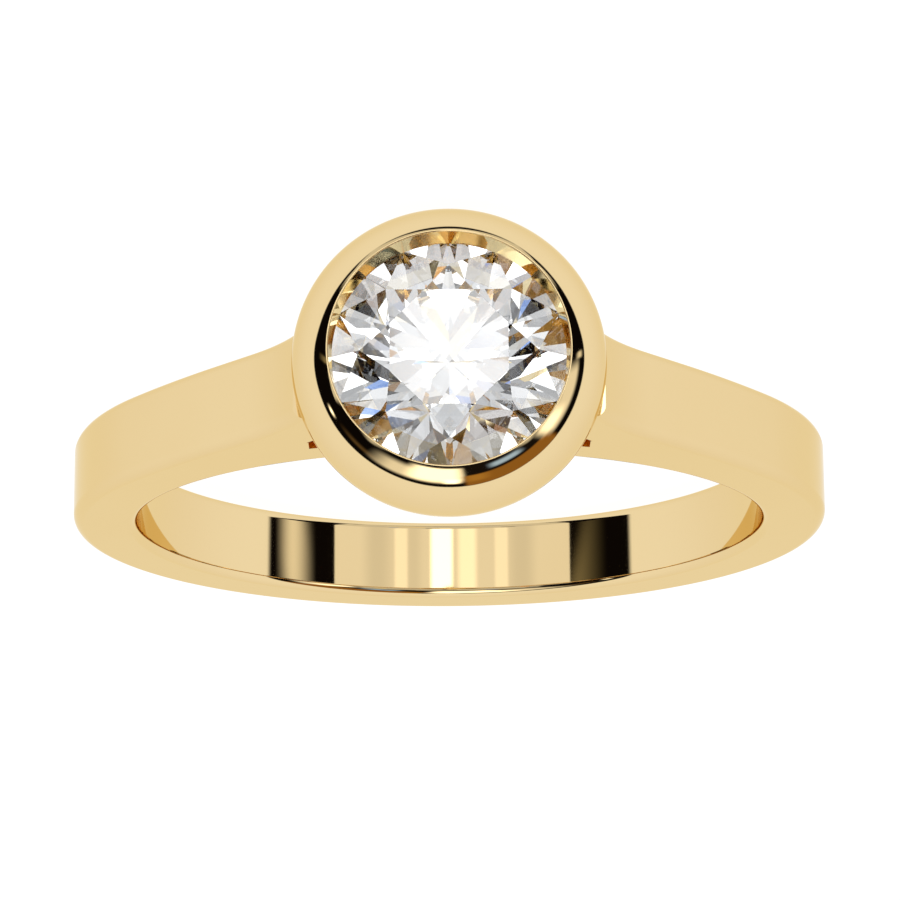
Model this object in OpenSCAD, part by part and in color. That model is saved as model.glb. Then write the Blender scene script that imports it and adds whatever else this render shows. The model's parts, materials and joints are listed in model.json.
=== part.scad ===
// Diamond ring: a bezel-set round brilliant on a plain band, lying on its side.
// The gold is drawn upright in a drawing frame, x across, y from the finger to the stone,
// z along the finger, and is then laid down so that it touches the surface at two places:
// the domed wall of the bezel and the far side of the band.

/* [Band] */
// Inside diameter of the band, a US size 7
finger_d = 17.35; // [16.5:0.05:18.2]
// Thickness of the band, from the finger outwards
band_t = 1.77; // [1.65:0.01:1.9]
// Width of the band along the finger
band_w = 2.3; // [2:0.05:2.6]
// Bevel on the edges of the finger hole
hole_bevel = 0.15; // [0.1:0.01:0.2]

/* [Shoulders] */
// Thickness of the strip that forms each shoulder
shoulder_t = 1.4; // [1.3:0.05:1.5]
// Angle from the head at which the shoulders leave the band
leave_angle = 54.5; // [53:0.5:56]
// Radius of the shoulder's long outward bow
bow_r = 36; // [30:1:45]
// Angle through which the bow turns
bow_turn = 6; // [5:0.5:7]
// Length of the straight stretch after the bow
straight_l = 1.6; // [1.4:0.1:1.8]
// Radius of the inward sweep up to the head
sweep_r = 7; // [6.5:0.1:7.5]

/* [Window under the head] */
// Thickness of the bridge that closes the band under the head
bridge_t = 1.2; // [1.1:0.05:1.3]
// Distance from the middle at which the window starts
window_x = 3.58; // [3.4:0.02:3.7]

/* [Bezel] */
// Height of the bezel above the inside of the band
head_h = 5.88; // [5.8:0.01:6]
// Outside diameter of the bezel at its widest line
bezel_d = 7.75; // [7.7:0.01:7.85]
// Radius of the dome that the bezel's wall follows, from the cup to the inner edge
dome_r = 1.44; // [1.38:0.01:1.5]
// Radius of the middle of the bezel's inner edge
edge_mid_r = 3; // [2.99:0.01:3.03]
// Rounding of the bezel's inner edge
edge_r = 0.06; // [0.05:0.01:0.07]
// Slope of the cup under the bezel, from the head's axis
cup_taper = 32; // [30:1:33]
// Height of the cup's base above the inside of the band
cup_base_h = 1; // [0.95:0.01:1.05]
// Thickness of the cup's floor
cup_floor_t = 0.75; // [0.6:0.05:0.9]

/* [Stone] */
// Diameter of the round brilliant
stone_d = 5.84; // [5.8:0.01:5.86]
// Width of the table across its corners, over the stone's diameter
table_ratio = 0.534; // [0.52:0.002:0.58]
// Slope of the crown's eight main facets
crown_angle = 34.5; // [33:0.5:35]
// Slope of the pavilion's eight main facets
pavilion_angle = 40.75; // [40:0.25:41.5]
// Thickness of the girdle between the tips of the main facets
girdle_t = 0.12; // [0.1:0.01:0.14]
// Reach of the star facets, from the table's edge to the girdle
star_ratio = 0.5; // [0.45:0.01:0.55]
// Reach of the lower girdle facets, from the girdle to the point
lower_ratio = 0.77; // [0.7:0.01:0.8]
// Depth of the girdle's upper edge under the top of the bezel
set_depth = 0.89; // [0.88:0.01:0.94]

/* [Hidden] */

arc_fn = 360;
bow_fn = 720;
edge_fn = 48;
gold = "#E3BE6E";
clear = "#EEF3F6";

function polar(r, a) = r * [cos(a), sin(a)];

finger_r = finger_d / 2;
band_r = finger_r + band_t;
half_w = band_w / 2;
bridge_r = finger_r + bridge_t;

// The shoulder's outer line runs from the band through the bow and the straight stretch to the sweep.
// Where two curves would only touch, one is set back by this much, so that they cross at a small angle.
setback = 0.004;
bow_start = 90 - leave_angle;
bow_end = bow_start + bow_turn;
outward = polar(1, bow_end);
onward = polar(1, bow_end + 90);
bow_centre = polar(band_r - bow_r - setback, bow_start);
straight_start = bow_centre + (bow_r - setback) * outward;
straight_end = straight_start + straight_l * onward;
sweep_centre = straight_end + (sweep_r - setback) * outward;
inner_start = straight_start - shoulder_t * outward;
inner_end = straight_end - shoulder_t * outward;
// The shoulder ends where the sweep comes as near to the middle as the bezel's widest line.
bezel_r = bezel_d / 2;
shoulder_top_y = sweep_centre.y - sweep_r * sin(acos((sweep_centre.x - bezel_r) / sweep_r));
shoulder_tip_x = 2;
shoulder_overrun = 0.3;
bow_overrun = 1.5;
straight_overlap = 0.2;
buried_r = finger_r - 1;
buried_from = 45;
buried_to = 75;

// The head's section, with heights measured from the finger's centre. The rounding of the inner edge
// stands proud of the dome by the setback, and the cup's wall is sunk in it as much.
top_y = finger_r + head_h;
edge_mid = [edge_mid_r, top_y - edge_r];
dome_mid_r = bezel_r - dome_r;
edge_angle = acos((edge_mid_r - dome_mid_r) / (dome_r - edge_r + setback));
dome_mid = edge_mid - polar(dome_r - edge_r + setback, edge_angle);
cup_base_y = finger_r + cup_base_h;
cup_top = dome_mid + polar(dome_r - setback, -cup_taper);
cup_base_r = cup_top.x - (cup_top.y - cup_base_y) * tan(cup_taper);
cup_wall_t = 0.7;

// The stone's heights in its own frame, with the girdle's upper edge at zero.
stone_r = stone_d / 2;
table_r = stone_r * table_ratio;
table_z = (stone_r - table_r) * tan(crown_angle);
point_z = -girdle_t - stone_r * tan(pavilion_angle);
girdle_y = top_y - set_depth;
table_mid_r = table_r * cos(22.5);
star_r = table_mid_r + star_ratio * (stone_r - table_mid_r);
star_z = table_z - (star_r * cos(22.5) - table_r) * tan(crown_angle);
lower_r = stone_r * (1 - lower_ratio);
lower_z = point_z + lower_r * cos(22.5) * tan(pavilion_angle);
arc_steps = 4;
girdle_n = 16 * arc_steps;

// The seat keeps this gap all round the stone.
seat_gap = 0.04;
seat_r = stone_r + seat_gap;
seat_top_y = girdle_y + 0.06;
seat_in_r = 2.5;
wall_bottom = [stone_r - 0.05, girdle_y + 0.08];
seat_low = [seat_in_r, girdle_y - girdle_t - seat_gap - (seat_r - seat_in_r) * tan(pavilion_angle)];
cup_floor_y = cup_base_y + cup_floor_t;
cup_floor_r = cup_base_r - cup_wall_t;

// The tilt at which the bezel and the far edge of the band both touch the surface.
rest_dy = dome_mid.y + band_r;
rest_dz = dome_mid.x - half_w;
rest_tilt = atan2(rest_dz, rest_dy) + asin(dome_r / norm([rest_dy, rest_dz]));
rest_z = dome_mid.x * cos(rest_tilt) - dome_mid.y * sin(rest_tilt) + dome_r;
// The reach of the laid-down ring at its head and at its far side.
head_reach = edge_mid.y * cos(rest_tilt) + edge_mid.x * sin(rest_tilt) + edge_r;
far_reach = band_r * cos(rest_tilt) + half_w * sin(rest_tilt);

// Lays the upright drawing down on the surface, head towards -Y, centred in X and Y.
module lay_down()
    translate([0, (head_reach - far_reach) / 2, rest_z])
        rotate([-rest_tilt, 0, 0])
            rotate([0, 0, 180])
                children();

// A disc beside the head, on both sides of it.
module paired_discs(centre, r)
    for (side = [-1, 1]) translate([side * centre.x, centre.y]) circle(r = r, $fn = arc_fn);

// One shoulder seen along the finger, still solid down to the finger hole.
module shoulder_outline() {
    intersection() {
        translate(bow_centre) circle(r = bow_r, $fn = bow_fn);
        polygon([
            [0, 0], polar(band_r + 1, bow_start),
            bow_centre + polar(bow_r + 1, bow_end + bow_overrun),
            bow_centre + polar(bow_r - 2, bow_end + bow_overrun)
        ]);
    }
    polygon([
        polar(buried_r, buried_from), straight_start - straight_overlap * onward, straight_end,
        [bezel_r + shoulder_overrun, shoulder_top_y], [shoulder_tip_x, shoulder_top_y],
        polar(buried_r, buried_to)
    ]);
}

// The open space between the shoulders and above the bridge, which the cup stands in.
module window_outline() {
    difference() {
        polygon([
            inner_start, inner_end, [inner_end.x, dome_mid.y],
            [-inner_end.x, dome_mid.y], [-inner_end.x, inner_end.y], [-inner_start.x, inner_start.y]
        ]);
        paired_discs(sweep_centre, sweep_r + shoulder_t);
        circle(r = bridge_r, $fn = arc_fn);
        difference() {
            circle(r = band_r, $fn = arc_fn);
            translate([-window_x, 0]) square([2 * window_x, band_r + 1]);
        }
    }
}

// Band and shoulders, with the bevelled finger hole.
module band() {
    difference() {
        translate([0, 0, -half_w])
            linear_extrude(height = band_w)
                difference() {
                    union() {
                        circle(r = band_r, $fn = arc_fn);
                        for (side = [0, 1]) mirror([side, 0, 0]) shoulder_outline();
                    }
                    paired_discs(sweep_centre, sweep_r);
                    window_outline();
                }
        translate([0, 0, -band_w]) cylinder(h = 2 * band_w, r = finger_r, $fn = arc_fn);
        for (side = [0, 1])
            mirror([0, 0, side])
                translate([0, 0, half_w - hole_bevel])
                    cylinder(h = 2 * hole_bevel, r1 = finger_r, r2 = finger_r + 2 * hole_bevel, $fn = arc_fn);
    }
}

// Half of the head's cross-section: domed wall and tapered cup, with the seat and the hollow cut out.
module head_section() {
    difference() {
        union() {
            translate(dome_mid) circle(r = dome_r, $fn = arc_fn);
            polygon([
                [0, cup_base_y], [cup_base_r, cup_base_y], cup_top, dome_mid,
                [dome_mid.x, wall_bottom.y], [0, wall_bottom.y]
            ]);
        }
        polygon([
            [-1, top_y + 1], edge_mid + polar(1, edge_angle), edge_mid, edge_mid - [edge_r, 0],
            wall_bottom, [seat_r, seat_top_y], [seat_r, girdle_y - girdle_t - seat_gap], seat_low,
            [cup_floor_r, cup_floor_y], [-1, cup_floor_y]
        ]);
    }
    translate(edge_mid) circle(r = edge_r, $fn = edge_fn);
}

module head()
    rotate([-90, 0, 0])
        rotate_extrude($fn = arc_fn)
            head_section();

module gold_mounting()
    color(gold)
        lay_down() {
            band();
            head();
        }

// A point at a radius, an angle and a height.
function at(r, a, z) = [r * cos(a), r * sin(a), z];

// The height at angle a on the girdle, in the plane through three points.
function on_plane(p, q, s, a) =
    let (n = cross(q - p, s - p), g = at(stone_r, a, 0))
    p.z - (n.x * (g.x - p.x) + n.y * (g.y - p.y)) / n.z;

// The girdle's edge on one side of the stone: apex is the inner end of each pair of girdle facets.
function edge_z(i, apex_r, apex_z, tip_z) =
    let (
        half = floor(i / arc_steps),
        low = half * 22.5,
        apex_a = 22.5 + 45 * floor(half / 2)
    )
    on_plane(
        at(apex_r, apex_a, apex_z), at(stone_r, low, tip_z), at(stone_r, low + 22.5, tip_z),
        i * 360 / girdle_n
    );

// The round brilliant: table, stars, mains and girdle facets above and below a round girdle.
module brilliant() {
    table = [for (k = [0:7]) at(table_r, 45 * k, table_z)];
    stars = [for (k = [0:7]) at(star_r, 45 * k + 22.5, star_z)];
    upper = [for (i = [0:girdle_n - 1]) at(stone_r, i * 360 / girdle_n, edge_z(i, star_r, star_z, 0))];
    lower = [for (i = [0:girdle_n - 1])
        at(stone_r, i * 360 / girdle_n, edge_z(i, lower_r, lower_z, -girdle_t))];
    ends = [for (k = [0:7]) at(lower_r, 45 * k + 22.5, lower_z)];
    up0 = 16;
    low0 = up0 + girdle_n;
    end0 = low0 + girdle_n;
    tip = end0 + 8;
    step = 2 * arc_steps;
    faces = concat(
        [[for (k = [7:-1:0]) k]],
        [for (k = [0:7]) [k, (k + 1) % 8, 8 + k]],
        [for (k = [0:7]) [k, 8 + k, up0 + k * step, 8 + (k + 7) % 8]],
        [for (k = [0:7], h = [0, 1])
            concat([8 + k], [for (j = [arc_steps:-1:0]) up0 + (k * step + h * arc_steps + j) % girdle_n])],
        [for (i = [0:girdle_n - 1])
            [up0 + i, up0 + (i + 1) % girdle_n, low0 + (i + 1) % girdle_n, low0 + i]],
        [for (k = [0:7], h = [0, 1])
            concat([end0 + k], [for (j = [0:arc_steps]) low0 + (k * step + h * arc_steps + j) % girdle_n])],
        [for (k = [0:7]) [tip, end0 + (k + 7) % 8, low0 + k * step, end0 + k]]
    );
    polyhedron(points = concat(table, stars, upper, lower, ends, [[0, 0, point_z]]), faces = faces);
}

module diamond()
    color(clear, 0.5)
        lay_down()
            translate([0, girdle_y, 0])
                rotate([-90, 22.5, 0])
                    brilliant();

gold_mounting();
diamond();
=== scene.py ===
"""A bezel-set round brilliant in a plain yellow gold ring, lying on its side on a pale floor."""
import json
import logging
import math
from collections.abc import Callable
from dataclasses import dataclass, field
from enum import Enum

import bmesh
import bpy
from mathutils import Matrix, Vector


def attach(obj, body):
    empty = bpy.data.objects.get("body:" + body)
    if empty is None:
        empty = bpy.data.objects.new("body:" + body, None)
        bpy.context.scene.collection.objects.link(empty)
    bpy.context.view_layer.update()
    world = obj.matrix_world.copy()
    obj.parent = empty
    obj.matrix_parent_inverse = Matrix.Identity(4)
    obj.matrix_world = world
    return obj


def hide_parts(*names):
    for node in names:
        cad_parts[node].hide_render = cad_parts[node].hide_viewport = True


LOG = logging.getLogger("ring")
MM = 0.001
BODY = "root"
# In millimetres: points closer than this are one point, halves closer than this join, and a point this near to a
# circle lies on it.
SAME = 1e-5
JOIN = 1e-4
ON = 1e-3
# Faces that meet at more than this angle, in degrees, meet in a sharp edge.
SHARP_DEG = 25

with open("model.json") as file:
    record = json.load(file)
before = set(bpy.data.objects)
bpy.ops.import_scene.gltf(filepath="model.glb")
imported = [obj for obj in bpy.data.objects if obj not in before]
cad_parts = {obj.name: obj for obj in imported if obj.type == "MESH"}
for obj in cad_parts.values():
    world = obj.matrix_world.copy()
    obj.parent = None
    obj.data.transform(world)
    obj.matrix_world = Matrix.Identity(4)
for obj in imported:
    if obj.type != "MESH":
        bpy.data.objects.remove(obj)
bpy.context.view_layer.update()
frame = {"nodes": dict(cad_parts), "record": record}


def linear(hex_colour: str) -> tuple[float, float, float, float]:
    """Turns an sRGB hex colour into linear light.

    Args:
        hex_colour: Six hex digits after a hash, such as "#E8CF9C".

    Returns:
        Red, green, blue and an alpha of one.
    """
    parts = [int(hex_colour[i:i + 2], 16) / 255 for i in (1, 3, 5)]
    red, green, blue = [p / 12.92 if p <= 0.04045 else ((p + 0.055) / 1.055) ** 2.4 for p in parts]
    return red, green, blue, 1.0


def add_node(tree: bpy.types.NodeTree, kind: str, settings: dict | None = None,
             inputs: dict | None = None) -> bpy.types.Node:
    """Adds one node with its settings, socket values and links.

    Args:
        tree: The node tree that takes the node.
        kind: Blender's name of the node's type.
        settings: Attributes to set on the node.
        inputs: Socket name or number to a value, or to the output socket that feeds it.

    Returns:
        The new node.
    """
    node = tree.nodes.new(kind)
    for name, value in (settings or {}).items():
        setattr(node, name, value)
    for key, value in (inputs or {}).items():
        if isinstance(value, bpy.types.NodeSocket):
            tree.links.new(value, node.inputs[key])
        else:
            node.inputs[key].default_value = value
    return node


def polar(radius: float, degrees: float) -> Vector:
    """Returns the point at a radius and an angle in the drawing plane."""
    angle = math.radians(degrees)
    return Vector((radius * math.cos(angle), radius * math.sin(angle), 0.0))


class Pen:
    """Draws a chain of edges in the drawing plane, in millimetres, with bmesh operators."""

    def __init__(self, start: Vector) -> None:
        """Puts the pen down at a point."""
        self.bm = bmesh.new()
        self.tip = self.bm.verts.new(start)

    def line_to(self, point: Vector) -> "Pen":
        """Draws a straight edge to a point and returns the pen."""
        made = bmesh.ops.extrude_vert_indiv(self.bm, verts=[self.tip])
        self.tip = made["verts"][0]
        self.tip.co = point
        return self

    def arc(self, centre: Vector, degrees: float, step: float = 1.0) -> "Pen":
        """Draws an arc from where the pen is.

        Args:
            centre: The arc's centre.
            degrees: The turn about the centre, positive anticlockwise.
            step: The turn of one edge, in degrees.

        Returns:
            The pen.
        """
        count = max(2, math.ceil(abs(degrees) / step))
        made = bmesh.ops.spin(self.bm, geom=[self.tip], cent=centre, axis=(0, 0, 1),
                              angle=math.radians(degrees), steps=count)
        self.tip = next(g for g in made["geom_last"] if isinstance(g, bmesh.types.BMVert))
        return self

    def close(self) -> bmesh.types.BMesh:
        """Closes the chain to its start and returns the bmesh."""
        self.bm.verts.ensure_lookup_table()
        self.bm.edges.new((self.tip, self.bm.verts[0]))
        bmesh.ops.remove_doubles(self.bm, verts=self.bm.verts, dist=SAME)
        return self.bm


@dataclass(frozen=True)
class RestPose:
    """How the upright drawing lies on the floor, read from the finger hole's mount."""

    centre: Vector
    finger_axis: Vector

    @classmethod
    def from_record(cls, record: dict) -> "RestPose":
        """Reads the finger hole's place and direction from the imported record."""
        mount = next(m for m in record["mounts"] if m["name"] == "finger_bore")
        return cls(Vector(mount["pos_m"]), Vector(mount["axis"]).normalized())

    @property
    def tilt(self) -> float:
        """The lean of the finger's axis from upright, in radians."""
        return math.atan2(self.finger_axis.y, self.finger_axis.z)

    @property
    def matrix(self) -> Matrix:
        """The matrix from the drawing, in millimetres, to the frame, in metres."""
        turn = Matrix.Rotation(-self.tilt, 4, "X") @ Matrix.Rotation(math.pi, 4, "Z")
        return Matrix.Translation(self.centre) @ turn @ Matrix.Scale(MM, 4)


class Polish(Enum):
    """How gold was polished: its roughness, and the depth of the marks left in it in millimetres."""

    # A felt wheel leaves a mirror, in which the eye sees the dark and the light around the ring with crisp edges.
    WHEEL_POLISHED = (0.035, 0.00006)
    # A burnisher rubbed by hand leaves soft ripples, in which the eye sees only streaks.
    BURNISHED = (0.06, 0.0002)


# Gives the eye a warm, pale yellow mirror that hardly changes in tone over a few millimetres. Real polishing marks
# are some thousandths of a millimetre apart and are drawn about ten times coarser, so that they show at all.
@dataclass(frozen=True)
class YellowGold:
    """18 karat yellow gold, cast, filed and polished on a felt wheel, or burnished where no wheel reaches."""

    polish: Polish = Polish.WHEEL_POLISHED
    colour: str = "#E9D09E"
    deep_colour: str = "#E7CC98"
    rim_tint: str = "#F8EED2"
    rough_spread: float = 0.2
    mark_mm: float = 0.05
    cloud_mm: float = 4.0

    def build(self) -> bpy.types.Material:
        """Makes the material: a clean warm mirror with faint marks and a soft drift of tone."""
        roughness, depth = self.polish.value
        material = bpy.data.materials.new(f"18k_gold_{self.polish.name.lower()}")
        material.use_nodes = True
        tree = material.node_tree
        tree.nodes.clear()
        place = add_node(tree, "ShaderNodeTexCoord").outputs["Object"]
        cloud = add_node(tree, "ShaderNodeTexNoise", None,
                         {"Vector": place, "Scale": 1 / (self.cloud_mm * MM), "Detail": 2.0})
        tone = add_node(tree, "ShaderNodeMix", {"data_type": "RGBA"},
                        {"Factor": cloud.outputs["Fac"], 6: linear(self.colour), 7: linear(self.deep_colour)})
        marks = add_node(tree, "ShaderNodeTexNoise", None,
                         {"Vector": place, "Scale": 1 / (self.mark_mm * MM), "Detail": 3.0})
        rough = add_node(tree, "ShaderNodeMapRange", None,
                         {"Value": cloud.outputs["Fac"], "To Min": roughness * (1 - self.rough_spread),
                          "To Max": roughness * (1 + self.rough_spread)})
        bump = add_node(tree, "ShaderNodeBump", None,
                        {"Height": marks.outputs["Fac"], "Strength": 1.0, "Distance": depth * MM})
        shader = add_node(tree, "ShaderNodeBsdfPrincipled", None,
                          {"Metallic": 1.0, "Base Color": tone.outputs[2], "Specular Tint": linear(self.rim_tint),
                           "Roughness": rough.outputs["Result"], "Normal": bump.outputs["Normal"]})
        add_node(tree, "ShaderNodeOutputMaterial", None, {"Surface": shader.outputs["BSDF"]})
        return material


# Gives the eye crisp patches of light, one for each facet, with nothing cloudy in them: light that enters turns
# between the facets and mostly leaves upwards again.
@dataclass(frozen=True)
class CutDiamond:
    """Colourless diamond, sawn, bruted and polished on an iron wheel."""

    index: float = 2.417
    clear: str = "#FFFFFF"
    growth_tint: str = "#FDFEFF"
    growth_mm: float = 2.0

    def build(self) -> bpy.types.Material:
        """Makes the material: clear and mirror-smooth, with a trace of cool tone where the crystal grew."""
        material = bpy.data.materials.new("diamond_wheel_polished")
        material.use_nodes = True
        tree = material.node_tree
        tree.nodes.clear()
        place = add_node(tree, "ShaderNodeTexCoord").outputs["Object"]
        growth = add_node(tree, "ShaderNodeTexNoise", None,
                          {"Vector": place, "Scale": 1 / (self.growth_mm * MM), "Detail": 1.0})
        tone = add_node(tree, "ShaderNodeMix", {"data_type": "RGBA"},
                        {"Factor": growth.outputs["Fac"], 6: linear(self.clear), 7: linear(self.growth_tint)})
        glass = add_node(tree, "ShaderNodeBsdfGlass", None,
                         {"Color": tone.outputs[2], "Roughness": 0.0, "IOR": self.index})
        add_node(tree, "ShaderNodeOutputMaterial", None, {"Surface": glass.outputs["BSDF"]})
        return material


# Gives the eye an even, almost white ground with hardly a shadow on it.
@dataclass(frozen=True)
class OpalSheet:
    """Opal acrylic sheet, cast and lit from below, as on a light table."""

    colour: str = "#7C7C7C"
    light: str = "#FFFFFF"
    glow: float = 0.92

    def build(self) -> bpy.types.Material:
        """Makes the material: a matt sheet that glows."""
        material = bpy.data.materials.new("floor_opal_light_table")
        material.use_nodes = True
        tree = material.node_tree
        tree.nodes.clear()
        matt = add_node(tree, "ShaderNodeBsdfDiffuse", None, {"Color": linear(self.colour)})
        glow = add_node(tree, "ShaderNodeEmission", None, {"Color": linear(self.light), "Strength": self.glow})
        both = add_node(tree, "ShaderNodeAddShader", None, {0: matt.outputs["BSDF"], 1: glow.outputs["Emission"]})
        add_node(tree, "ShaderNodeOutputMaterial", None, {"Surface": both.outputs[0]})
        return material


@dataclass
class Mounting:
    """The gold mounting: band, bridge and shoulders, and the bezel with its cup, in millimetres and degrees."""

    rest: RestPose
    finger_r: float
    band_t: float = 1.77
    band_w: float = 2.3
    outer_edge_r: float = 0.3
    outer_edge_faces: int = 6
    inner_edge_r: float = 0.25
    inner_edge_faces: int = 5
    shoulder_t: float = 1.4
    leave_angle: float = 54.5
    bow_r: float = 36.0
    bow_turn: float = 6.0
    straight_l: float = 1.6
    sweep_r: float = 7.0
    bridge_t: float = 1.2
    window_x: float = 3.58
    head_h: float = 5.88
    bezel_d: float = 7.75
    dome_r: float = 1.44
    edge_mid_r: float = 2.975
    edge_r: float = 0.035
    cup_taper: float = 32.0
    cup_base_h: float = 1.0
    cup_floor_t: float = 0.75
    cup_wall_t: float = 0.7
    stone_r: float = 2.92
    seat_in_r: float = 2.5
    girdle_t: float = 0.12
    pavilion_angle: float = 40.75
    set_depth: float = 0.89
    seat_gap: float = 0.04
    hold_lap: float = 0.05
    hold_top: float = 0.08
    hold_foot: float = 0.06
    turn_steps: int = 240
    gold: YellowGold = field(default_factory=YellowGold)
    # The bezel's inside is burnished, and its paler, whiter gold colours are painted light that brightens it.
    inner_gold_painted_bright: YellowGold = field(default_factory=lambda: YellowGold(
        Polish.BURNISHED, "#FFEDC0", "#FFE8B2", "#FFF6DC"))

    @property
    def band_r(self) -> float:
        """Outside radius of the band."""
        return self.finger_r + self.band_t

    @property
    def window_from(self) -> float:
        """Angle over the ring's middle, in radians, from which the shoulder covers the band's own circle."""
        spare_deg = 1
        return math.radians(90 - self.leave_angle + spare_deg)

    @property
    def bridge_r(self) -> float:
        """Outside radius of the bridge under the head."""
        return self.finger_r + self.bridge_t

    def draw_side(self) -> bmesh.types.BMesh:
        """Draws the right half of the band and its shoulder as seen along the finger."""
        start = 90 - self.leave_angle
        end = start + self.bow_turn
        outward = polar(1, end)
        onward = polar(1, end + 90)
        bow_centre = polar(self.band_r - self.bow_r, start)
        straight_start = bow_centre + self.bow_r * outward
        straight_end = straight_start + self.straight_l * onward
        sweep_centre = straight_end + self.sweep_r * outward
        sweep_end = 180 + math.degrees(math.acos((sweep_centre.x - self.bezel_d / 2) / self.sweep_r))
        tip = sweep_centre + polar(self.sweep_r, sweep_end)
        inner_r = self.sweep_r + self.shoulder_t
        origin = Vector((0, 0, 0))
        # The inner line of the shoulder meets the band's own circle here.
        gap = sweep_centre.length
        along = (gap ** 2 + self.band_r ** 2 - inner_r ** 2) / (2 * gap)
        aside = math.sqrt(self.band_r ** 2 - along ** 2)
        to_sweep = sweep_centre.normalized()
        across = Vector((-to_sweep.y, to_sweep.x, 0))
        notch = along * to_sweep + aside * across
        top_in_angle = math.degrees(math.asin((sweep_centre.y - tip.y) / inner_r))
        notch_angle = math.degrees(math.atan2(sweep_centre.y - notch.y, sweep_centre.x - notch.x))
        bridge_angle = math.degrees(math.acos(self.window_x / self.bridge_r))
        block_angle = math.degrees(math.acos(self.window_x / self.band_r))
        notch_polar = math.degrees(math.atan2(notch.y, notch.x))
        pen = Pen(Vector((0, self.finger_r, 0)))
        pen.line_to(Vector((0, self.bridge_r, 0)))
        pen.arc(origin, bridge_angle - 90)
        pen.line_to(polar(self.band_r, block_angle))
        pen.arc(origin, notch_polar - block_angle, step=0.3)
        pen.arc(sweep_centre, top_in_angle - notch_angle)
        pen.line_to(tip)
        pen.arc(sweep_centre, end + 180 - sweep_end)
        pen.line_to(straight_start)
        pen.arc(bow_centre, start - end, step=0.25)
        pen.arc(origin, -90 - start)
        pen.line_to(Vector((0, -self.finger_r, 0)))
        pen.arc(origin, 180)
        return pen.close()

    def band(self) -> bpy.types.Object:
        """Makes the band, its bridge and both shoulders, and rounds the edges that the hand meets."""
        bm = self.draw_side()
        face = bmesh.ops.contextual_create(bm, geom=bm.edges[:])["faces"][0]
        bmesh.ops.translate(bm, verts=bm.verts, vec=(0, 0, -self.band_w / 2))
        made = bmesh.ops.extrude_face_region(bm, geom=[face])
        verts = [g for g in made["geom"] if isinstance(g, bmesh.types.BMVert)]
        bmesh.ops.translate(bm, verts=verts, vec=(0, 0, self.band_w))
        middle = [f for f in bm.faces if all(abs(v.co.x) < SAME for v in f.verts)]
        bmesh.ops.delete(bm, geom=middle, context="FACES_ONLY")
        bmesh.ops.mirror(bm, geom=bm.verts[:] + bm.edges[:] + bm.faces[:], matrix=Matrix.Identity(4),
                         merge_dist=JOIN, axis="X")
        bmesh.ops.remove_doubles(bm, verts=bm.verts, dist=JOIN)
        bmesh.ops.recalc_face_normals(bm, faces=bm.faces)
        self.round_edges(bm, self.inner_edge_r, self.inner_edge_faces, self.is_hole_edge)
        self.round_edges(bm, self.outer_edge_r, self.outer_edge_faces, self.is_outer_edge)
        return self.finish_piece(bm, "band_and_shoulders")

    def is_side_edge(self, edge: bmesh.types.BMEdge) -> bool:
        """True for an edge between a side face and a wall, away from the middle plane."""
        z = [v.co.z for v in edge.verts]
        on_side = abs(abs(z[0]) - self.band_w / 2) < SAME and abs(z[0] - z[1]) < SAME
        return on_side and not all(abs(v.co.x) < SAME for v in edge.verts) and not edge.is_boundary

    def is_hole_edge(self, edge: bmesh.types.BMEdge) -> bool:
        """True for the finger hole's edges."""
        return self.is_side_edge(edge) and all(abs(v.co.xy.length - self.finger_r) < ON for v in edge.verts)

    def is_outer_edge(self, edge: bmesh.types.BMEdge) -> bool:
        """True for the outer edges of the band and the shoulders, not for those in the windows or at the bezel."""
        if not self.is_side_edge(edge) or len(edge.link_faces) != 2:
            return False
        walls = [f for f in edge.link_faces if abs(f.normal.z) < 0.5]
        if len(walls) != 1 or any(v.co.xy.length < self.band_r - ON for v in edge.verts):
            return False
        middle, outward = walls[0].calc_center_median(), walls[0].normal
        in_window = middle.xy.length < self.band_r + ON and math.atan2(middle.y, abs(middle.x)) > self.window_from
        level = 0.02
        turned_out = abs(outward.x) > level and outward.x * middle.x > 0
        return not in_window and (turned_out or middle.y < 0)

    @staticmethod
    def round_edges(bm: bmesh.types.BMesh, radius: float, segments: int,
                    chosen: Callable[[bmesh.types.BMEdge], bool]) -> None:
        """Rounds the edges that a test picks.

        Args:
            bm: The bmesh to shape.
            radius: The rounding's radius in millimetres.
            segments: Faces across the rounding.
            chosen: The test that an edge has to pass.
        """
        edges = [e for e in bm.edges if chosen(e)]
        LOG.info("rounding %d edges by %.2f mm", len(edges), radius)
        bmesh.ops.bevel(bm, geom=edges, offset=radius, offset_type="OFFSET", segments=segments, profile=0.5,
                        affect="EDGES", clamp_overlap=False, material=-1)

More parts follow.
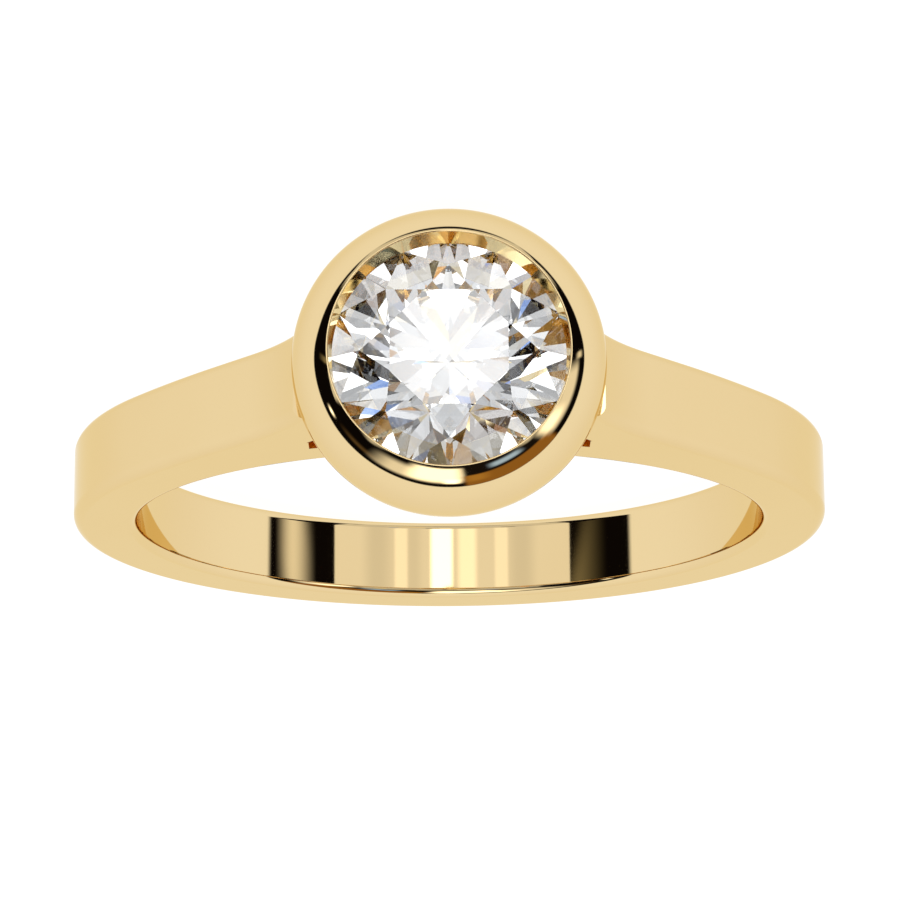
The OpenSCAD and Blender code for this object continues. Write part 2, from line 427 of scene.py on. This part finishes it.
    def draw_head(self) -> bmesh.types.BMesh:
        """Draws half of the head's cross-section, clockwise from the foot of the cup."""
        top = self.finger_r + self.head_h
        edge = Vector((self.edge_mid_r, top - self.edge_r, 0))
        dome_x = self.bezel_d / 2 - self.dome_r
        reach = self.dome_r - self.edge_r
        edge_angle = math.degrees(math.acos((edge.x - dome_x) / reach))
        dome = edge - polar(reach, edge_angle)
        base_y = self.finger_r + self.cup_base_h
        cup_top = dome + polar(self.dome_r, -self.cup_taper)
        base_r = cup_top.x - (cup_top.y - base_y) * math.tan(math.radians(self.cup_taper))
        girdle = top - self.set_depth
        seat_r = self.stone_r + self.seat_gap
        below = girdle - self.girdle_t - self.seat_gap
        low_y = below - (seat_r - self.seat_in_r) * math.tan(math.radians(self.pavilion_angle))
        floor_y = base_y + self.cup_floor_t
        pen = Pen(Vector((0, base_y, 0)))
        pen.line_to(Vector((base_r, base_y, 0)))
        pen.line_to(cup_top)
        pen.arc(dome, edge_angle + self.cup_taper, step=2)
        pen.arc(edge, 180 - edge_angle, step=12)
        pen.line_to(Vector((self.stone_r - self.hold_lap, girdle + self.hold_top, 0)))
        pen.line_to(Vector((seat_r, girdle + self.hold_foot, 0)))
        pen.line_to(Vector((seat_r, below, 0)))
        pen.line_to(Vector((self.seat_in_r, low_y, 0)))
        pen.line_to(Vector((base_r - self.cup_wall_t, floor_y, 0)))
        pen.line_to(Vector((0, floor_y, 0)))
        return pen.bm

    def head(self) -> bpy.types.Object:
        """Makes the domed bezel and its cup by turning the drawn section about the head's axis."""
        bm = self.draw_head()
        bmesh.ops.spin(bm, geom=bm.verts[:] + bm.edges[:], cent=(0, 0, 0), axis=(0, 1, 0),
                       angle=2 * math.pi, steps=self.turn_steps, use_merge=True)
        bmesh.ops.remove_doubles(bm, verts=bm.verts, dist=SAME)
        bmesh.ops.recalc_face_normals(bm, faces=bm.faces)
        bm.normal_update()
        # The burnished inside, whose paler gold is a painted highlight, starts just under the bezel's inner edge.
        inside_r = self.edge_mid_r - 0.9 * self.edge_r
        for f in bm.faces:
            middle = f.calc_center_median()
            f.material_index = int(middle.xz.length < inside_r and middle.xz.dot(f.normal.xz) < 0)
        return self.finish_piece(bm, "bezel_and_cup")

    @staticmethod
    def even_normals(bm: bmesh.types.BMesh, sharp: float) -> list[Vector]:
        """Finds the shading normals, so that a large face stays even up to its rounded edges.

        Args:
            bm: The piece, in metres.
            sharp: The angle over which faces don't share their shading.

        Returns:
            One normal for each corner, ruled by the largest faces that meet there.
        """
        bm.normal_update()
        weight = {f: (f.calc_area() / MM ** 2) ** 2 for f in bm.faces}
        normals = []
        for f in bm.faces:
            for v in f.verts:
                near = [g for g in v.link_faces if g is f or g.normal.dot(f.normal) > math.cos(sharp)]
                normals.append(sum((g.normal * weight[g] for g in near), Vector()).normalized())
        return normals

    def finish_piece(self, bm: bmesh.types.BMesh, name: str) -> bpy.types.Object:
        """Lays a drawn piece down and shades it.

        Args:
            bm: The piece in the drawing, freed here.
            name: The piece's name.

        Returns:
            The finished object.
        """
        bm.transform(self.rest.matrix)
        for f in bm.faces:
            f.smooth = True
        sharp = math.radians(SHARP_DEG)
        for e in bm.edges:
            e.smooth = not (e.is_manifold and e.calc_face_angle(0) > sharp)
        normals = self.even_normals(bm, sharp)
        mesh = bpy.data.meshes.new(name)
        bm.to_mesh(mesh)
        bm.free()
        mesh.normals_split_custom_set(normals)
        piece = bpy.data.objects.new(name, mesh)
        bpy.context.scene.collection.objects.link(piece)
        LOG.info("%s: %d faces", name, len(mesh.polygons))
        return piece

    def build(self) -> list[bpy.types.Object]:
        """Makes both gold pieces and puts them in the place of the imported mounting."""
        outside, inside = self.gold.build(), self.inner_gold_painted_bright.build()
        made = [self.band(), self.head()]
        for piece in made:
            piece.data.materials.append(outside)
        made[1].data.materials.append(inside)
        for piece in made:
            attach(piece, BODY)
            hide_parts("gold_mounting")
        return made


@dataclass
class Stone:
    """The round brilliant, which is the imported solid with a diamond's finish."""

    node: bpy.types.Object
    finish: CutDiamond = field(default_factory=CutDiamond)

    def build(self) -> bpy.types.Object:
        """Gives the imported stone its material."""
        self.node.data.materials.clear()
        self.node.data.materials.append(self.finish.build())
        LOG.info("diamond: %d faces", len(self.node.data.polygons))
        return self.node


@dataclass(frozen=True)
class Wall:
    """A patch of the walls, in degrees around the upright ring and over its level."""

    azimuth: float
    half_width: float
    low: float
    high: float
    colour: tuple[float, float, float]
    soft_side: float = 4.0
    soft_low: float = 1.0
    soft_high: float = 4.0
    over_foot: bool = False


class Tint(Enum):
    """Colours of what hangs over the ring, as parts of white light."""

    WHITE = (1.0, 1.0, 1.0)
    BLUE = (0.30, 0.44, 0.95)
    AMBER = (0.90, 0.40, 0.09)
    STRAW = (0.95, 0.80, 0.45)
    BEIGE = (0.80, 0.73, 0.58)
    SLATE = (0.52, 0.54, 0.62)
    SHADE = (0.05, 0.04, 0.03)


@dataclass(frozen=True)
class Panel:
    """A patch of the ceiling, across and along the finger's axis, as parts of the ceiling's height."""

    across: float
    half_across: float
    along: float
    half_along: float
    level: float
    soft: float = 0.02
    tint: Tint = Tint.WHITE


# How high the bright foot of the walls reaches, in degrees, from the back of the ring to its visible side, which
# are 0 and 1 here.
FOOT = ((0.0, 20.0), (0.04, 22.0), (0.095, 24.0), (0.17, 23.3), (0.27, 20.5), (0.37, 16.2), (0.54, 16.7),
        (0.70, 16.8), (0.90, 17.0), (1.0, 16.5))
# The bright foot of the walls and the dark walls, then what hangs on them: the back wall's cloth, the faint left
# wall, the softbox beside the camera with its lamp, the dark corner that cuts it off, the brown wall, the window
# in it, the lit corner on the right, one lamp, and two pale strips that the inside of the band mirrors.
WALLS = (
    Wall(0, 200, -14, 90, (1.05, 1.07, 1.10), soft_low=26),
    Wall(0, 200, 0, 100, (0.004, 0.003, 0.003), soft_low=1.2, over_foot=True),
    Wall(270, 40, 4.6, 100, (1.15, 1.15, 1.15), soft_side=6, soft_low=0.8, over_foot=True),
    Wall(142, 12, 27, 32, (0.11, 0.07, 0.03), soft_side=8, soft_low=3, soft_high=4),
    Wall(112, 20, 25, 47, (1.0, 1.0, 1.0), soft_side=9, soft_low=4, soft_high=6),
    Wall(98, 15, 27, 54, (2.3, 2.3, 2.3), soft_side=6, soft_low=5, soft_high=2),
    Wall(89, 4, 24, 32, (3.0, 3.0, 3.0), soft_side=3, soft_low=2, soft_high=3),
    Wall(54, 27, 17, 90, (0.01, 0.008, 0.008), soft_side=2.0),
    Wall(54, 27, 17, 37.5, (0.32, 0.15, 0.03), soft_side=2.0, soft_high=2),
    Wall(75, 6, 25, 37, (0.46, 0.24, 0.05), soft_side=5, soft_low=4, soft_high=2),
    Wall(54, 10, 43, 51, (0.45, 0.72, 1.4), soft_side=4, soft_low=2.5, soft_high=3),
    Wall(8, 19, 28.5, 50, (1.0, 1.0, 1.0), soft_side=4, soft_low=4),
    Wall(20, 8, 35, 50, (2.0, 2.0, 2.0), soft_side=6, soft_low=4),
    Wall(167, 1, 25, 28, (6.0, 6.0, 6.0), soft_side=4, soft_low=2, soft_high=2),
    Wall(-14.6, 1.4, 22.5, 31.5, (0.95, 0.93, 0.88), soft_side=0.8, soft_low=4, soft_high=5),
    Wall(194.9, 1.4, 36.5, 60, (0.34, 0.30, 0.19), soft_side=0.8, soft_low=11),
)
# How soft a panel's ends are along the finger's axis, as a part of the ceiling's height.
ALONG_SOFT = 0.05
# The ceiling's white cloth and the stretch of it over the camera, the line of it that the inside of the band
# mirrors with its dimmer parts and its strip lamps, the camera, and then small coloured things and pale grey
# patches that only the stone finds.
CEILING = (
    Panel(-0.04, 1.04, -1.05, 1.15, 0.78, 0.015),
    Panel(0.0, 0.70, 0.30, 0.20, 0.60, 0.06),
    Panel(-0.04, 1.04, -0.30, 0.17, 1.0, 0.015),
    Panel(0.53, 0.10, -0.30, 0.17, 0.84, 0.08),
    Panel(-0.53, 0.10, -0.30, 0.17, 0.84, 0.08),
    Panel(0.25, 0.05, -0.30, 0.17, 0.88, 0.04),
    Panel(0.338, 0.048, -0.30, 0.17, 1.30, 0.015),
    Panel(-0.365, 0.050, -0.30, 0.17, 1.28, 0.015),
    Panel(-0.12, 0.06, -0.30, 0.17, 1.50, 0.025),
    Panel(0.053, 0.070, -0.30, 0.17, 2.9, 0.02),
    Panel(0.0, 0.05, 0.257, 0.05, 0.02, 0.02),
    Panel(-0.30, 0.05, 0.45, 0.04, 1.0, 0.01, Tint.BLUE),
    Panel(0.42, 0.04, -0.62, 0.05, 1.0, 0.01, Tint.BLUE),
    Panel(0.22, 0.05, 0.02, 0.04, 1.0, 0.01, Tint.SLATE),
    Panel(-0.55, 0.04, 0.10, 0.05, 1.0, 0.01, Tint.AMBER),
    Panel(-0.20, 0.04, -0.72, 0.04, 1.0, 0.01, Tint.AMBER),
    Panel(0.50, 0.05, 0.18, 0.05, 1.0, 0.01, Tint.STRAW),
    Panel(-0.15, 0.05, 0.10, 0.05, 1.0, 0.01, Tint.BEIGE),
    Panel(0.30, 0.06, 0.50, 0.05, 1.0, 0.01, Tint.SHADE),
    Panel(-0.45, 0.06, -0.65, 0.06, 1.0, 0.01, Tint.SHADE),
    Panel(0.12, 0.05, -0.60, 0.05, 1.0, 0.01, Tint.SHADE),
    Panel(-0.38, 0.09, -1.30, 0.30, 1.35, 0.02, Tint.SLATE),
    Panel(0.30, 0.10, -1.10, 0.22, 1.15, 0.02, Tint.BEIGE),
    Panel(-0.08, 0.08, -0.95, 0.12, 1.25, 0.02, Tint.SLATE),
    Panel(0.08, 0.07, -1.60, 0.30, 1.3, 0.02, Tint.SLATE),
    Panel(-0.60, 0.09, -0.75, 0.10, 1.2, 0.02, Tint.SLATE),
    Panel(0.62, 0.09, -0.95, 0.12, 1.2, 0.02, Tint.SLATE),
    Panel(0.30, 0.07, 0.0, 0.04, 1.1, 0.02, Tint.SLATE),
    Panel(-0.62, 0.05, 0.35, 0.05, 1.0, 0.01, Tint.SHADE),
)


@dataclass
class Studio:
    """The pale floor, the soft light and the camera."""

    rest: RestPose
    lean_deg: float = 14.418
    roll_deg: float = 0.379
    turn_deg: float = -0.092
    distance_mm: float = 100.0
    aim_x_mm: float = 0.021
    aim_h_mm: float = 4.521
    lens_mm: float = 149.2
    sensor_mm: float = 36.0
    sheet_half_m: float = 1.0
    sheet: OpalSheet = field(default_factory=OpalSheet)
    walls: tuple[Wall, ...] = WALLS
    ceiling: tuple[Panel, ...] = CEILING

    def frame_vector(self, x: float, h: float, f: float) -> Vector:
        """Turns a direction of the drawing, across, to the head and along the finger, into the frame."""
        return (self.rest.matrix.to_3x3() @ Vector((x, h, f))).normalized()

    def camera(self) -> bpy.types.Object:
        """Makes the camera at the photograph's angle to the ring."""
        lean, roll = math.radians(self.lean_deg), math.radians(self.roll_deg)
        back = Vector((math.sin(math.radians(self.turn_deg)), math.cos(lean), math.sin(lean))).normalized()
        down = (Vector((0, 0, 1)) - back.z * back).normalized()
        right = back.cross(down)
        down, right = down * math.cos(roll) - right * math.sin(roll), right * math.cos(roll) + down * math.sin(roll)
        place = Vector((self.aim_x_mm, self.aim_h_mm, 0)) + self.distance_mm * back
        turn = Matrix((right, -down, back)).transposed()
        data = bpy.data.cameras.new("camera")
        data.lens = self.lens_mm
        data.sensor_width = self.sensor_mm
        data.clip_start = 0.001
        data.clip_end = 10.0
        camera = bpy.data.objects.new("camera", data)
        lay = self.rest.matrix
        turn_frame = (lay.to_3x3() * (1 / MM)) @ turn
        camera.matrix_world = Matrix.Translation(lay @ place) @ turn_frame.to_4x4()
        bpy.context.scene.collection.objects.link(camera)
        bpy.context.scene.camera = camera
        return camera

    def floor(self) -> bpy.types.Object:
        """Makes the floor, a wide glowing sheet that the gold and the stone don't mirror."""
        bm = bmesh.new()
        bmesh.ops.create_grid(bm, x_segments=1, y_segments=1, size=self.sheet_half_m)
        mesh = bpy.data.meshes.new("floor")
        bm.to_mesh(mesh)
        bm.free()
        floor = bpy.data.objects.new("floor", mesh)
        bpy.context.scene.collection.objects.link(floor)
        mesh.materials.append(self.sheet.build())
        floor.visible_glossy = False
        floor.visible_transmission = False
        return floor

    def light(self) -> None:
        """Makes the soft light: walls and a ceiling around the upright ring, seen in the gold and the stone."""
        world = bpy.data.worlds.new("studio")
        bpy.context.scene.world = world
        world.use_nodes = True
        tree = world.node_tree
        tree.nodes.clear()
        direction = add_node(tree, "ShaderNodeTexCoord").outputs["Generated"]
        rise = self.toward(tree, direction, self.frame_vector(0, 1, 0))
        height = self.maths(tree, "ARCSINE", rise)
        # Directions under the ring's level don't reach the ceiling, so the height stays over nought.
        up = self.maths(tree, "MAXIMUM", rise, 0.001)
        across = self.maths(tree, "DIVIDE", self.toward(tree, direction, self.frame_vector(1, 0, 0)), up)
        along = self.maths(tree, "DIVIDE", self.toward(tree, direction, self.frame_vector(0, 0, 1)), up)
        over_foot = self.maths(tree, "SUBTRACT", height, self.foot_line(tree, direction))
        colour: bpy.types.NodeSocket | tuple[float, ...] = (1, 1, 1)
        for wall in self.walls:
            away = self.turn_from(tree, direction, wall.azimuth)
            mask = self.window(tree, (
                (away, wall.half_width, -wall.soft_side),
                (over_foot if wall.over_foot else height, wall.low, wall.soft_low),
                (height, wall.high, -wall.soft_high)), math.radians(1))
            colour = self.over(tree, colour, wall.colour, mask)
        for panel in self.ceiling:
            beside = self.maths(tree, "ABSOLUTE", self.maths(tree, "SUBTRACT", across, panel.across))
            beyond = self.maths(tree, "ABSOLUTE", self.maths(tree, "SUBTRACT", along, panel.along))
            mask = self.window(tree, ((beside, panel.half_across, -panel.soft),
                                      (beyond, panel.half_along, -ALONG_SOFT)), 1.0)
            colour = self.over(tree, colour, tuple(panel.level * t for t in panel.tint.value), mask)
        back = add_node(tree, "ShaderNodeBackground", None, {"Color": colour, "Strength": 1.0})
        add_node(tree, "ShaderNodeOutputWorld", None, {"Surface": back.outputs["Background"]})

    @staticmethod
    def maths(tree: bpy.types.NodeTree, operation: str, *values: bpy.types.NodeSocket | float) -> bpy.types.NodeSocket:
        """Returns the socket of a maths node with the given inputs."""
        return add_node(tree, "ShaderNodeMath", {"operation": operation}, dict(enumerate(values))).outputs[0]

    @staticmethod
    def toward(tree: bpy.types.NodeTree, direction: bpy.types.NodeSocket, axis: Vector) -> bpy.types.NodeSocket:
        """Returns the socket that says how far a direction goes along an axis."""
        return add_node(tree, "ShaderNodeVectorMath", {"operation": "DOT_PRODUCT"},
                        {0: direction, 1: axis}).outputs["Value"]

    @staticmethod
    def over(tree: bpy.types.NodeTree, under: bpy.types.NodeSocket | tuple[float, ...],
             colour: tuple[float, ...], mask: bpy.types.NodeSocket) -> bpy.types.NodeSocket:
        """Returns the socket of one colour laid over another where the mask is one."""
        return add_node(tree, "ShaderNodeMix", {"data_type": "VECTOR"}, {0: mask, 4: under, 5: colour}).outputs[1]

    def foot_line(self, tree: bpy.types.NodeTree, direction: bpy.types.NodeSocket) -> bpy.types.NodeSocket:
        """Returns the socket that says how high, in radians, the bright foot of the walls reaches in a direction."""
        aside = self.toward(tree, direction, self.frame_vector(1, 0, 0))
        ahead = self.toward(tree, direction, self.frame_vector(0, 0, 1))
        turn = self.maths(tree, "SINE", self.maths(tree, "ARCTAN2", ahead, self.maths(tree, "ABSOLUTE", aside)))
        line = add_node(tree, "ShaderNodeFloatCurve", None, {"Value": self.maths(tree, "MULTIPLY_ADD", turn, 0.5, 0.5)})
        points = line.mapping.curves[0].points
        points[0].location = (FOOT[0][0], FOOT[0][1] / 90)
        points[-1].location = (FOOT[-1][0], FOOT[-1][1] / 90)
        for place, degrees in FOOT[1:-1]:
            points.new(place, degrees / 90)
        line.mapping.update()
        return self.maths(tree, "MULTIPLY", line.outputs["Value"], math.pi / 2)

    def turn_from(self, tree: bpy.types.NodeTree, direction: bpy.types.NodeSocket,
                  azimuth: float) -> bpy.types.NodeSocket:
        """Returns the socket that says by how many radians a direction is turned from an azimuth."""
        turn = math.radians(azimuth)
        ahead = self.toward(tree, direction, self.frame_vector(math.cos(turn), 0, math.sin(turn)))
        aside = self.toward(tree, direction, self.frame_vector(-math.sin(turn), 0, math.cos(turn)))
        return self.maths(tree, "ABSOLUTE", self.maths(tree, "ARCTAN2", aside, ahead))

    def window(self, tree: bpy.types.NodeTree,
               edges: tuple[tuple[bpy.types.NodeSocket, float, float], ...], unit: float) -> bpy.types.NodeSocket:
        """Multiplies soft steps into one mask.

        Args:
            tree: The world's node tree.
            edges: For each step its value, its place, and its softness, negative for a step down.
            unit: What a place and a softness of one are in the value's own unit.

        Returns:
            The socket that is one where all the steps are up.
        """
        mask = None
        for value, place, soft in edges:
            rising = soft > 0
            step = add_node(tree, "ShaderNodeMapRange", {"interpolation_type": "SMOOTHSTEP"},
                            {"Value": value, "From Min": (place - abs(soft)) * unit,
                             "From Max": (place + abs(soft)) * unit, "To Min": float(not rising),
                             "To Max": float(rising)}).outputs["Result"]
            mask = step if mask is None else self.maths(tree, "MULTIPLY", mask, step)
        return mask

    def build(self) -> None:
        """Makes the camera, the floor and the light."""
        self.camera()
        self.floor()
        self.light()
        scene = bpy.context.scene
        scene.view_settings.view_transform = "Standard"
        scene.view_settings.look = "None"
        # Light turns many times inside the stone and the bezel before it comes out.
        scene.cycles.max_bounces = 32
        scene.cycles.glossy_bounces = 24
        scene.cycles.transmission_bounces = 24
        scene.cycles.blur_glossy = 0.0


def main() -> None:
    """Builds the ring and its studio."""
    logging.basicConfig(level=logging.INFO, format="%(name)s: %(message)s")
    record = frame["record"]
    rest = RestPose.from_record(record)
    bore = next(m for m in record["mounts"] if m["name"] == "finger_bore")
    Studio(rest).build()
    Mounting(rest, finger_r=bore["dims"]["r_mm"]).build()
    Stone(frame["nodes"]["diamond"]).build()


if __name__ == "__main__":
    main()
